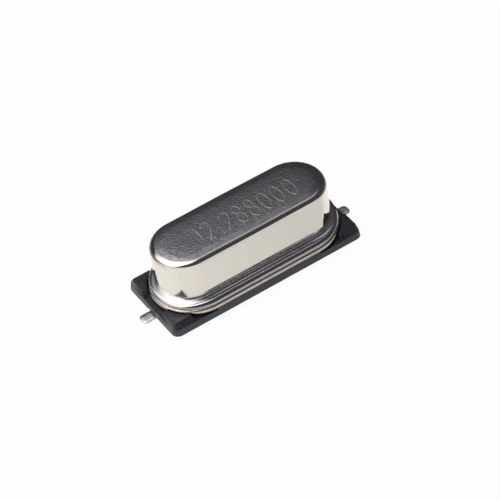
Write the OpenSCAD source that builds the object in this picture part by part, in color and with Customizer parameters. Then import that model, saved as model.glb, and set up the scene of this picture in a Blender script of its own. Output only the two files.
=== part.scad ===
// Surface-mount quartz crystal unit, millimetres.
// A drawn metal can is welded to a header with two glass-sealed leads.
// The header sits in a moulded plastic base, and the leads run out flat under
// both ends of it. Inside, two clips carry the quartz blank.
// The part stands on its leads at z = 0, with its long side along X.

/* [Plastic base] */
// Length of the base plate
base_l = 11.4; // [11.2:0.1:11.8]
// Width of the base plate
base_w = 4.7; // [4.7:0.1:5]
// Thickness of the base plate
plate_t = 0.35; // [0.3:0.05:0.4]
// Radius of the plate's corners
plate_r = 0.4; // [0.3:0.05:0.4]
// Distance that the plate's sides lean in towards its top
plate_lean = 0.05; // [0.02:0.01:0.08]
// Height of the base's underside over the plane that the leads stand on
standoff = 0.28; // [0.24:0.02:0.32]
// Height of the header's seat over the underside
seat_h = 0.52; // [0.45:0.01:0.6]
// Length of the rail that holds the header up along each long side
rail_l = 6.2; // [5:0.1:6.2]
// Height of the corner blocks over the underside
block_h = 0.68; // [0.6:0.02:0.8]
// Length of a corner block at its foot
block_l = 1.32; // [1:0.02:1.4]
// Radius of a block's outer upright edge at its foot
block_r = 0.25; // [0.25:0.05:0.4]
// Ledge of the plate outside the blocks' long sides
ledge = 0.13; // [0.12:0.01:0.16]
// Distance that a block's outer end leans in towards its top
end_lean = 0.1; // [0:0.01:0.14]
// Distance that a block's other sides lean in towards its top
block_lean = 0.19; // [0:0.01:0.22]
// Width between the two blocks at each end, at their feet
notch_w = 1.5; // [1.2:0.1:1.8]
// Depth of the grooves under the base that clear the leads
groove_t = 0.06; // [0.04:0.01:0.1]
// Gap between the blocks and the header's flange
flange_gap = 0.08; // [0.05:0.01:0.12]

/* [Header] */
// Length of the header's flange
flange_l = 10.8; // [10.6:0.1:11]
// Width of the header's flange
flange_w = 4.7; // [4.6:0.05:4.7]
// Thickness of the header's sheet
header_t = 0.27; // [0.27:0.01:0.3]
// Radius round the upper edge of the header's flange
rim_r = 0.2; // [0.1:0.01:0.2]
// Height of the raised platform over the flange
platform_rise = 0.35; // [0.25:0.05:0.45]
// Gap between the platform and the can's wall
platform_gap = 0.16; // [0.12:0.02:0.24]
// Diameter of the eyelets that hold the glass
eyelet_d = 1.3; // [1.1:0.1:1.4]
// Thickness of the collar drawn round each eyelet
collar_t = 0.15; // [0.1:0.01:0.18]

/* [Can] */
// Length of the can's body at its foot
can_l = 10.08; // [9.9:0.02:10.1]
// Width of the can's body at its foot
can_w = 3.6; // [3.5:0.02:3.66]
// Height of the can over the header's flange
can_h = 2.8; // [2.5:0.05:3.6]
// Thickness of the drawn wall
wall_t = 0.22; // [0.18:0.01:0.25]
// Outer radius round the top face
top_r = 0.33; // [0.28:0.01:0.4]
// Lean of the wall from foot to top
draft = 0.02; // [0:0.01:0.04]
// Thickness of the can's flange
lip_t = 0.305; // [0.295:0.005:0.315]
// Radius of the flange's lower edge
lip_foot_r = 0.1; // [0.04:0.01:0.12]
// Radius that rolls over the flange's flank
lip_r = 0.33; // [0.32:0.01:0.36]
// Height of the pressed rise on the flange
step_h = 0.03; // [0.02:0.01:0.06]
// Width of the pressed rise outside the wall
step_w = 0.19; // [0.16:0.01:0.2]
// Radius of the fillet at the foot of the wall
foot_r = 0.03; // [0.02:0.01:0.06]

/* [Leads] */
// Distance between the two leads in the header
lead_pitch = 4.88; // [4.7:0.02:5]
// Diameter of the lead wire
wire_d = 0.43; // [0.4:0.01:0.48]
// Distance over the tips of both leads
span = 12.7; // [12.5:0.1:13]
// Width of the flattened lead
flat_w = 0.66; // [0.6:0.02:0.7]
// Thickness of the flattened lead
flat_t = 0.22; // [0.18:0.02:0.24]
// Radius of the corners at the lead's tip
tip_r = 0.22; // [0.18:0.01:0.28]
// Inner radius of the lead's bend
bend_r = 0.15; // [0.1:0.01:0.18]
// Diameter of the nail head inside the can
nail_d = 0.74; // [0.6:0.02:0.8]
// Thickness of the nail head
nail_t = 0.12; // [0.08:0.02:0.16]

/* [Crystal] */
// Length of the quartz blank
blank_l = 8; // [7.6:0.1:8.1]
// Width of the quartz blank
blank_w = 1.8; // [1.4:0.1:1.9]
// Thickness of the quartz blank
blank_t = 0.15; // [0.12:0.01:0.2]
// Length of the bevel at each end of the blank
bevel_l = 0.45; // [0.3:0.05:0.5]
// Length of the metal film on each face
film_l = 4.6; // [4:0.1:5]
// Width of the metal film on each face
film_w = 1.3; // [1:0.1:1.4]
// Thickness of the metal film
film_t = 0.02; // [0.02:0.01:0.03]
// Width of the film's tab
tab_w = 0.5; // [0.4:0.1:0.8]
// Thickness of the clips' spring sheet
clip_t = 0.1; // [0.08:0.01:0.12]
// Width of a clip
clip_w = 1.1; // [0.9:0.1:1.3]
// Height of the blank's shelf over the nail head
shelf_rise = 0.55; // [0.45:0.05:0.65]

/* [Hidden] */
$fn = 64;
// Overrun that carries a cut clear of the face it opens
over = 0.2;

// Levels, from the plane that the leads stand on
z_plate = standoff + plate_t;
z_seat = standoff + seat_h;
z_block = standoff + block_h;
z_head = z_seat + header_t;
z_platform = z_head + platform_rise;
z_lip = z_head + lip_t;
z_step = z_lip + step_h;
z_top = z_head + can_h;
z_nail = z_platform + 0.35;
z_shelf = z_nail + shelf_rise + clip_t;
z_blank = z_shelf + 0.04;

// Half sizes of the base
base_hl = base_l / 2;
base_hw = base_w / 2;

// Half widths, and the half lengths of the straight runs between round ends
flange_hw = flange_w / 2;
flange_run = (flange_l - flange_w) / 2;
lip_hw = flange_hw - 0.03;
can_hw = can_w / 2;
can_run = (can_l - can_w) / 2;
cavity_hw = can_hw - wall_t;
platform_hw = cavity_hw - platform_gap;
mouth_r = 0.2;
lead_x = lead_pitch / 2;
wire_r = wire_d / 2;

// The clip's shape, measured from the lead's axis
clip_foot_x = 0.42;
clip_arm_x = 0.88;
clip_stop_x = blank_l / 2 + 0.08;
clip_stop_h = 0.34;

// Colours
nickel = [0.78, 0.77, 0.74];
header_grey = [0.66, 0.63, 0.6];
black_plastic = [0.1, 0.1, 0.11];
solder_grey = [0.72, 0.72, 0.72];
seal_green = [0.25, 0.4, 0.36];
spring_grey = [0.62, 0.64, 0.66];
quartz_clear = [0.85, 0.9, 0.93];
silver = [0.9, 0.9, 0.88];
cement_grey = [0.55, 0.55, 0.57];

// Sweeps a half profile round an obround: radius along x, height along y.
module obround(run) {
    for (turn = [0, 180])
        rotate([0, 0, turn])
            translate([run, 0, 0])
                rotate([0, 0, -90])
                    rotate_extrude(angle = 180)
                        children();
    for (side = [0, 1])
        mirror([0, side, 0])
            translate([-run, 0, 0])
                rotate([90, 0, 90])
                    linear_extrude(2 * run)
                        children();
}

// Half profile of a disc with its upper and lower edges rounded.
module disc_profile(r, z0, z1, upper, lower) {
    translate([0, z0])
        square([r - lower, lower]);
    translate([0, z0 + lower])
        square([r, z1 - z0 - upper - lower]);
    translate([0, z1 - upper])
        square([r - upper, upper]);
    intersection() {
        translate([0, z0])
            square([r, z1 - z0]);
        union() {
            translate([r - upper, z1 - upper])
                circle(upper);
            translate([r - lower, z0 + lower])
                circle(lower);
        }
    }
}

// Concave quarter fillet that stands in the corner at r, z.
module fillet_profile(r, z, radius) {
    difference() {
        translate([r - radius, z - radius])
            square(2 * radius);
        translate([r + radius, z + radius])
            circle(radius);
    }
}

// Bell mouth that opens a hollow towards the face below it.
module mouth_profile(r, z, radius) {
    difference() {
        translate([0, z - over])
            square([r + radius, radius + over]);
        translate([r + radius, z + radius])
            circle(radius);
    }
}

// Half profile of the flange, rolled over from its lower edge to its flat ring.
module lip_profile() {
    roll_x = lip_hw - lip_r;
    intersection() {
        disc_profile(lip_hw, z_head, z_lip, 0.05, lip_foot_r);
        union() {
            translate([0, z_head - over])
                square([roll_x, 2 * over + lip_t]);
            translate([roll_x, z_head + 0.01])
                circle(lip_r);
        }
    }
}

// Outside of the can's body, from inside its flange to the top face.
module can_profile() {
    shoulder = can_hw - draft;
    z_low = z_head + lip_t / 2;
    fillet_profile(can_hw, z_step, foot_r);
    polygon([
        [0, z_low],
        [can_hw + step_w, z_low],
        [can_hw + step_w, z_lip],
        [can_hw + 0.75 * step_w, z_lip + 0.6 * step_h],
        [can_hw + foot_r + 0.02, z_step],
        [0, z_step]
    ]);
    polygon([
        [0, z_low],
        [can_hw, z_low],
        [can_hw, z_step + foot_r],
        [shoulder, z_top - top_r],
        [shoulder - top_r, z_top],
        [0, z_top]
    ]);
    translate([shoulder - top_r, z_top - top_r])
        circle(top_r);
}

// Drawn can: one sheet, open below, with a stepped flange round its mouth.
module can_cover() {
    color(nickel)
        difference() {
            union() {
                obround(flange_run)
                    lip_profile();
                obround(can_run)
                    can_profile();
            }
            obround(can_run) {
                disc_profile(cavity_hw, z_head, z_top - wall_t, 0.12, 0.01);
                mouth_profile(cavity_hw, z_head, mouth_r);
            }
        }
}

// Stamped header: flange, raised platform and two collared eyelets.
module header_plate() {
    recess_hw = platform_hw - header_t;
    color(header_grey)
        difference() {
            union() {
                difference() {
                    union() {
                        obround(flange_run)
                            disc_profile(flange_hw, z_seat, z_head, rim_r, 0.06);
                        obround(can_run) {
                            disc_profile(platform_hw, z_seat + 0.05, z_platform, 0.12, 0.01);
                            fillet_profile(platform_hw, z_head, 0.08);
                        }
                    }
                    obround(can_run) {
                        disc_profile(recess_hw, z_seat, z_platform - header_t, 0.08, 0.01);
                        mouth_profile(recess_hw, z_seat, 0.12);
                    }
                }
                for (side = [-1, 1])
                    translate([side * lead_x, 0, z_seat + 0.05])
                        cylinder(d = eyelet_d + 2 * collar_t, h = z_platform - z_seat - 0.15);
            }
            for (side = [-1, 1])
                translate([side * lead_x, 0, z_seat - over])
                    cylinder(d = eyelet_d, h = z_platform - z_seat + 2 * over);
        }
}

// Glass bead round a lead, with the dished faces that melted glass takes.
module glass_bead() {
    mid_r = (eyelet_d / 2 + wire_r) / 2;
    half = (eyelet_d / 2 - wire_r) / 2;
    sag = 0.05;
    dish_r = (half * half + sag * sag) / (2 * sag);
    z0 = z_seat + 0.05;
    color(seal_green)
        translate([lead_x, 0, 0])
            rotate_extrude()
                difference() {
                    translate([wire_r, z0])
                        square([2 * half, z_platform - z0]);
                    translate([mid_r, z_platform + dish_r - sag])
                        circle(dish_r);
                    translate([mid_r, z0 - dish_r + sag])
                        circle(dish_r);
                }
}

// Cross-section of the flattened wire: a flat band with round flanks.
module band_section(w, t) {
    square([w - t, t], center = true);
    for (side = [-1, 1])
        translate([side * (w - t) / 2, 0])
            circle(d = t);
}

// Right half of a band, with its round edge at the given reach.
module half_band(reach, t) {
    translate([0, -t / 2])
        square([reach - t / 2, t]);
    translate([reach - t / 2, 0])
        intersection() {
            circle(d = t);
            translate([0, -t])
                square(2 * t);
        }
}

// One lead: nail head, round shank, coined neck, bend and flat foot.
module lead_wire() {
    mid_r = bend_r + flat_t / 2;
    z_bend = flat_t + bend_r;
    x_bend = lead_x + mid_r;
    x_tip = span / 2 - tip_r;
    y_tip = flat_w / 2 - tip_r;
    color(solder_grey) {
        translate([lead_x, 0, 0])
            rotate_extrude() {
                translate([0, z_seat - 0.06])
                    square([wire_r, z_nail - z_seat]);
                polygon([[0, z_seat - 0.2], [wire_r - 0.1, z_seat - 0.2], [wire_r, z_seat - 0.06],
                         [0, z_seat - 0.06]]);
                disc_profile(nail_d / 2, z_nail - nail_t, z_nail, 0.03, 0.03);
            }
        intersection() {
            translate([lead_x, 0, z_bend])
                linear_extrude(z_seat - z_bend)
                    rotate(90)
                        band_section(flat_w, flat_t);
            translate([lead_x - wire_r, 0, 0])
                rotate([90, 0, 90])
                    linear_extrude(wire_d)
                        polygon([
                            [-flat_w / 2, z_bend - over], [flat_w / 2, z_bend - over],
                            [flat_w / 2, z_seat - 0.16], [wire_r - 0.05, z_seat],
                            [0.05 - wire_r, z_seat], [-flat_w / 2, z_seat - 0.16]
                        ]);
        }
        translate([x_bend, 0, z_bend])
            rotate([90, 0, 0])
                rotate([0, 0, 180])
                    rotate_extrude(angle = 90)
                        translate([mid_r, 0])
                            rotate(90)
                                band_section(flat_w, flat_t);
        translate([x_bend, 0, flat_t / 2])
            rotate([90, 0, 90])
                linear_extrude(x_tip - x_bend)
                    band_section(flat_w, flat_t);
        translate([x_tip, y_tip, flat_t / 2])
            rotate([90, 0, 0])
                linear_extrude(2 * y_tip)
                    half_band(tip_r, flat_t);
        for (side = [-1, 1])
            translate([x_tip, side * y_tip, flat_t / 2])
                rotate([0, 0, side > 0 ? 0 : -90])
                    rotate_extrude(angle = 90)
                        half_band(tip_r, flat_t);
    }
}

// One corner block, with leaning sides, before the flange's relief is cut.
module corner_block() {
    x1 = base_hl - plate_lean;
    x0 = x1 - block_l;
    y1 = base_hw - ledge;
    y0 = notch_w / 2;
    rise = block_h - plate_t;
    intersection() {
        translate([0, y1 + over, z_plate])
            rotate([90, 0, 0])
                linear_extrude(y1 - y0 + 2 * over)
                    polygon([[x0, -over / 2], [x1, -over / 2], [x1, 0], [x1 - end_lean, rise],
                             [x0 + block_lean, rise], [x0, 0]]);
        translate([x0 - over, 0, z_plate])
            rotate([90, 0, 90])
                linear_extrude(block_l + 2 * over)
                    polygon([[y0, -over / 2], [y1, -over / 2], [y1, 0], [y1 - block_lean, rise],
                             [y0 + block_lean, rise], [y0, 0]]);
        translate([0, 0, z_plate - over])
            linear_extrude(rise + 2 * over) {
                translate([x0 - over, y0 - over])
                    square([block_l + over - block_r, y1 - y0 + over]);
                translate([x0 - over, y0 - over])
                    square([block_l + over, y1 - y0 + over - block_r]);
                translate([x1 - block_r, y1 - block_r])
                    circle(block_r);
            }
    }
}

// Slab across the base, of the given length and height, with leaning long sides.
module drafted_slab(length, height) {
    top_hw = base_hw - plate_lean * height / plate_t;
    rotate([90, 0, 90])
        translate([0, 0, -length / 2])
            linear_extrude(length)
                polygon([[-base_hw, 0], [base_hw, 0], [top_hw, height], [-top_hw, height]]);
}

// Base plate with rounded corners and leaning sides.
module base_plate() {
    top_hl = base_hl - plate_lean;
    run_w = base_w - 2 * plate_r;
    drafted_slab(base_l - 2 * plate_r, plate_t);
    rotate([90, 0, 0])
        translate([0, 0, -run_w / 2])
            linear_extrude(run_w)
                polygon([[-base_hl, 0], [base_hl, 0], [top_hl, plate_t], [-top_hl, plate_t]]);
    for (x = [-1, 1], y = [-1, 1])
        translate([x * (base_hl - plate_r), y * (base_hw - plate_r), 0])
            rotate_extrude()
                polygon([[0, 0], [plate_r, 0], [plate_r - plate_lean, plate_t], [0, plate_t]]);
}

// Moulded base: plate, rails, raised seat, corner blocks, lead holes and grooves.
module plastic_base() {
    groove_w = flat_w + 0.1;
    hole_d = flat_w + 0.14;
    seat_hw = flange_hw - 0.15;
    color(black_plastic)
        difference() {
            union() {
                translate([0, 0, standoff]) {
                    base_plate();
                    drafted_slab(rail_l, seat_h);
                }
                obround(flange_run)
                    translate([0, z_plate - 0.1])
                        square([seat_hw, z_seat - z_plate + 0.1]);
                difference() {
                    for (x = [0, 1], y = [0, 1])
                        mirror([x, 0, 0])
                            mirror([0, y, 0])
                                corner_block();
                    obround(flange_run)
                        translate([0, z_plate])
                            square([flange_hw + flange_gap, block_h]);
                }
            }
            for (side = [0, 1])
                mirror([side, 0, 0]) {
                    translate([lead_x, 0, 0])
                        cylinder(d = hole_d, h = z_seat + over);
                    translate([lead_x, -groove_w / 2, -over])
                        cube([base_l, groove_w, over + standoff + groove_t]);
                }
        }
}

// Side view of a clip: foot on the nail head, sprung arm, shelf and end stop.
module clip_profile() {
    foot = z_nail + clip_t / 2;
    shelf = z_shelf - clip_t / 2;
    arm_end = clip_arm_x + 0.34;
    for (bar = [
        [[lead_x - clip_foot_x, foot], [lead_x + clip_foot_x, foot]],
        [[lead_x + clip_foot_x, foot], [lead_x + clip_arm_x, shelf]],
        [[lead_x + clip_arm_x, shelf], [clip_stop_x + clip_t / 2, shelf]],
        [[clip_stop_x + clip_t / 2, shelf], [clip_stop_x + clip_t / 2, shelf + clip_stop_h]]
    ])
        clip_bar(bar[0], bar[1]);
}

// One straight stretch of the clip's sheet, with round ends that meet in a bend.
module clip_bar(from, to) {
    run = norm(to - from);
    translate(from)
        rotate(atan2(to[1] - from[1], to[0] - from[0]))
            translate([0, -clip_t / 2])
                square([run, clip_t]);
    translate(to)
        circle(d = clip_t);
}

// Spring clip: a bent strip with a slot in its arm that keeps it soft.
module spring_clip() {
    slot_w = clip_w / 3;
    color(spring_grey)
        difference() {
            translate([0, clip_w / 2, 0])
                rotate([90, 0, 0])
                    linear_extrude(clip_w)
                        clip_profile();
            translate([lead_x + clip_foot_x + 0.06, -slot_w / 2, z_nail])
                cube([clip_arm_x - clip_foot_x - 0.12, slot_w, shelf_rise + 3 * clip_t]);
        }
}

// Strip of quartz, bevelled at both ends.
module quartz_blank() {
    end = blank_l / 2;
    flat = end - bevel_l;
    nose = blank_t * 0.3;
    color(quartz_clear)
        translate([0, blank_w / 2, z_blank])
            rotate([90, 0, 0])
                linear_extrude(blank_w)
                    polygon([
                        [-flat, 0], [flat, 0], [end, nose], [end, blank_t - nose],
                        [flat, blank_t], [-flat, blank_t], [-end, blank_t - nose], [-end, nose]
                    ]);
}

// Metal film on one face of the blank, with a tab towards the right-hand clip.
module film(z) {
    color(silver)
        translate([0, 0, z])
            linear_extrude(film_t) {
                square([film_l, film_w], center = true);
                translate([0, -tab_w / 2])
                    square([blank_l / 2 - bevel_l, tab_w]);
            }
}

// Upper film, on top of the blank.
module electrode_upper() {
    film(z_blank + blank_t);
}

// Lower film, under the blank, led to the left-hand clip.
module electrode_lower() {
    mirror([1, 0, 0])
        film(z_blank - film_t);
}

// Dot of conductive cement that holds an end of the blank to its clip.
module cement_dot() {
    dot_r = 0.46;
    color(cement_grey)
        difference() {
            intersection() {
                translate([blank_l / 2 - 0.2, 0, z_blank + 0.02])
                    sphere(dot_r);
                translate([blank_l / 2 - 1, -1, z_shelf])
                    cube([clip_stop_x - blank_l / 2 + 1, 2, 1]);
            }
            quartz_blank();
            electrode_upper();
            mirror([1, 0, 0])
                electrode_lower();
        }
}

can_cover();
header_plate();
mirror([1, 0, 0]) glass_bead();  // glass_seal_left
glass_bead();  // glass_seal_right
mirror([1, 0, 0]) lead_wire();  // lead_left
lead_wire();  // lead_right
plastic_base();
mirror([1, 0, 0]) spring_clip();  // spring_clip_left
spring_clip();  // spring_clip_right
quartz_blank();
electrode_upper();
electrode_lower();
mirror([1, 0, 0]) cement_dot();  // adhesive_dot_left
cement_dot();  // adhesive_dot_right
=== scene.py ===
"""Looks of a surface-mount quartz crystal unit.

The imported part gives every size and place. This script dresses it: a bright
drawn can with engraved digits, a black moulded base and two tinned leads.
Lengths in the classes are in millimetres and become metres in the meshes.
"""

import logging
import math
from dataclasses import dataclass, field
from enum import Enum

import bmesh
import bpy
from mathutils import Matrix, Vector


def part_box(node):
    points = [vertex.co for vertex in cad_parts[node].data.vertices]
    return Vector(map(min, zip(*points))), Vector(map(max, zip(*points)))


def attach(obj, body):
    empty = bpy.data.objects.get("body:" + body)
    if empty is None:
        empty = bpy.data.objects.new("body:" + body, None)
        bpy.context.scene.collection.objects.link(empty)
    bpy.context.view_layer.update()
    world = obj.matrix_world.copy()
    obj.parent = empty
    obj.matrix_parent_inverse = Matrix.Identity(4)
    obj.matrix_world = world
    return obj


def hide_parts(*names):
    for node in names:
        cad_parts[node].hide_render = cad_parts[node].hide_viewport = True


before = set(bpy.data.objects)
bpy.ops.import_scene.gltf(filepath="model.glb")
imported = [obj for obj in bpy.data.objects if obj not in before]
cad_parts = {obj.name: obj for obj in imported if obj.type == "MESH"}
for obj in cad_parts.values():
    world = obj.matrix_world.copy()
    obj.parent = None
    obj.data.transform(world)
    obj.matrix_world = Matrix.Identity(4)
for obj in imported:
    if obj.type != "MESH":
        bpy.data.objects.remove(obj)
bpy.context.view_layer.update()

LOG = logging.getLogger("crystal_unit")
MM = 0.001
BODY = "root"

# Radius of the nail head on each lead, in millimetres.
NAIL_HEAD = 0.37
# Steps round one end of a ring that shows, and along its side where it bends.
FULL_ROUND = 72
# Steps along the straight side of a ring that doesn't bend there.
CUT_RUN = 8

Pair = tuple[float, float]
Triple = tuple[float, float, float]
Socket = bpy.types.NodeSocket
Tree = bpy.types.NodeTree


# --------------------------------------------------------------------------
# Shapes
# --------------------------------------------------------------------------


@dataclass(frozen=True)
class Ring:
    """One obround ring of a sweep.

    Args:
        run: Half length of the straight sides.
        radius: Radius of the round ends, and half the width.
        z: Height of the ring.
        bow: How far the straight sides swell outward at their middle.
    """

    run: float
    radius: float
    z: float
    bow: float = 0.0

    def points(self, n_end: int, n_run: int) -> list[Vector]:
        """Gives the ring's points, anticlockwise from above.

        Args:
            n_end: Steps round each end.
            n_run: Steps along each side.

        Returns:
            The points, in millimetres.
        """
        half: list[Vector] = []
        for i in range(n_end):
            a = math.pi * (i / n_end - 0.5)
            x = self.run + self.radius * math.cos(a)
            half.append(Vector((x, self.radius * math.sin(a), self.z)))
        for i in range(n_run):
            x = self.run * (1 - 2 * i / n_run)
            swell = self.bow * math.cos(math.pi * x / (2 * self.run)) ** 2
            half.append(Vector((x, self.radius + swell, self.z)))
        return half + [Vector((-p.x, -p.y, p.z)) for p in half]


def arc(centre: Pair, radius: float, start: float, stop: float, steps: int) -> list[Pair]:
    """Points on an arc of a half profile.

    Args:
        centre: Radius and height of the arc's centre.
        radius: Radius of the arc.
        start: First angle in degrees, 0 pointing outward and 90 up.
        stop: Last angle in degrees.
        steps: Number of steps.

    Returns:
        Pairs of radius and height, both ends included.
    """
    found = []
    for i in range(steps + 1):
        a = math.radians(start + (stop - start) * i / steps)
        found.append((centre[0] + radius * math.cos(a), centre[1] + radius * math.sin(a)))
    return found


def loft(name: str, rows: list[list[Vector]]) -> bpy.types.Object:
    """Joins rows of points into one closed mesh, shaded by its true curve.

    Args:
        name: Name of the object.
        rows: Closed rings with equal numbers of points, in millimetres.

    Returns:
        The new object, linked to the scene.
    """
    bm = bmesh.new()
    rings = [[bm.verts.new(p * MM) for p in row] for row in rows]
    count = len(rows[0])
    for low, high in zip(rings, rings[1:]):
        for i in range(count):
            j = (i + 1) % count
            bm.faces.new((low[i], low[j], high[j], high[i]))
    bm.faces.new(rings[-1])
    bm.faces.new(list(reversed(rings[0])))
    bmesh.ops.recalc_face_normals(bm, faces=bm.faces)
    bm.normal_update()
    slopes: list[Vector] = []
    for i, row in enumerate(rows):
        above = rows[min(i + 1, len(rows) - 1)]
        below = rows[max(i - 1, 0)]
        for j in range(count):
            round_about = row[(j + 1) % count] - row[j - 1]
            slope = round_about.cross(above[j] - below[j])
            guess = rings[i][j].normal
            if slope.length < 1e-9:
                slope = guess.copy()
            slope.normalize()
            slopes.append(slope if slope.dot(guess) >= 0 else -slope)
    for face in bm.faces:
        face.smooth = True
    made = object_from(bm, name)
    made.data.normals_split_custom_set_from_vertices(slopes)
    return made


def lead_axis() -> float:
    """Distance of each lead's wire from the part's middle, in millimetres."""
    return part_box("lead_right")[0].x / MM + NAIL_HEAD


def object_from(bm: bmesh.types.BMesh, name: str) -> bpy.types.Object:
    """Turns a bmesh into a linked object and frees it.

    Args:
        bm: The mesh.
        name: Name of the object.

    Returns:
        The new object.
    """
    mesh = bpy.data.meshes.new(name)
    bm.to_mesh(mesh)
    bm.free()
    made = bpy.data.objects.new(name, mesh)
    bpy.context.scene.collection.objects.link(made)
    return made


def apply_modifiers(piece: bpy.types.Object) -> None:
    """Bakes a piece's modifiers into its mesh.

    Args:
        piece: The piece.
    """
    graph = bpy.context.evaluated_depsgraph_get()
    made = bpy.data.meshes.new_from_object(piece.evaluated_get(graph))
    old = piece.data
    piece.modifiers.clear()
    piece.data = made
    bpy.data.meshes.remove(old)


def combine(piece: bpy.types.Object, other: bpy.types.Object, operation: str) -> None:
    """Unites or cuts one closed mesh with another, and removes the other.

    Args:
        piece: The mesh that stays.
        other: The mesh that is used up.
        operation: UNION or DIFFERENCE.
    """
    mod = piece.modifiers.new("combine", "BOOLEAN")
    mod.operation = operation
    mod.solver = "EXACT"
    mod.object = other
    bpy.context.view_layer.update()
    apply_modifiers(piece)
    bpy.data.objects.remove(other)


def soften(piece: bpy.types.Object, width: float, segments: int, angle: float) -> None:
    """Rounds the sharp edges of a piece and shades it to match.

    Args:
        piece: The piece.
        width: Width of the rounding in millimetres.
        segments: Steps across the rounding.
        angle: Edges sharper than this many degrees are rounded.
    """
    mod = piece.modifiers.new("soften", "BEVEL")
    mod.width = width * MM
    mod.segments = segments
    mod.limit_method = "ANGLE"
    mod.angle_limit = math.radians(angle)
    mod.use_clamp_overlap = True
    mod.harden_normals = False
    weigh(piece)
    apply_modifiers(piece)


def crisp_shade(piece: bpy.types.Object, angle: float) -> None:
    """Shades a cut piece smoothly, with edges over an angle left crisp.

    Args:
        piece: The piece.
        angle: The angle in degrees.
    """
    bm = bmesh.new()
    bm.from_mesh(piece.data)
    bmesh.ops.remove_doubles(bm, verts=bm.verts, dist=1e-8)
    for edge in bm.edges:
        edge.smooth = edge.is_manifold and edge.calc_face_angle() < math.radians(angle)
    bm.to_mesh(piece.data)
    bm.free()
    weigh(piece)
    apply_modifiers(piece)


def weigh(piece: bpy.types.Object) -> None:
    """Shades a piece so that its large faces stay flat beside small roundings.

    Args:
        piece: The piece.
    """
    for face in piece.data.polygons:
        face.use_smooth = True
    mod = piece.modifiers.new("weigh", "WEIGHTED_NORMAL")
    mod.weight = 60
    mod.keep_sharp = True


def smooth_cad(node: bpy.types.Object, angle: float) -> None:
    """Shades a CAD node smoothly, with its own vertices left as they are.

    Args:
        node: The CAD node.
        angle: Edges sharper than this many degrees stay crisp.
    """
    for face in node.data.polygons:
        face.use_smooth = True
    weld = node.modifiers.new("weld", "WELD")
    weld.merge_threshold = 1e-7
    split = node.modifiers.new("crisp", "EDGE_SPLIT")
    split.split_angle = math.radians(angle)


def dress(piece: bpy.types.Object, material: bpy.types.Material) -> None:
    """Gives a piece one material in place of any it had.

    Args:
        piece: The piece.
        material: The material.
    """
    piece.data.materials.clear()
    piece.data.materials.append(material)


def seat(piece: bpy.types.Object, slot: str, *nodes: str) -> None:
    """Fixes a new piece to the part and hides the CAD nodes that it replaces.

    Args:
        piece: The piece.
        slot: The record's material slot. Not used.
        nodes: The CAD nodes that it replaces.
    """
    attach(piece, BODY)
    if nodes:
        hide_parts(*nodes)


# --------------------------------------------------------------------------
# Shader building
# --------------------------------------------------------------------------


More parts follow.
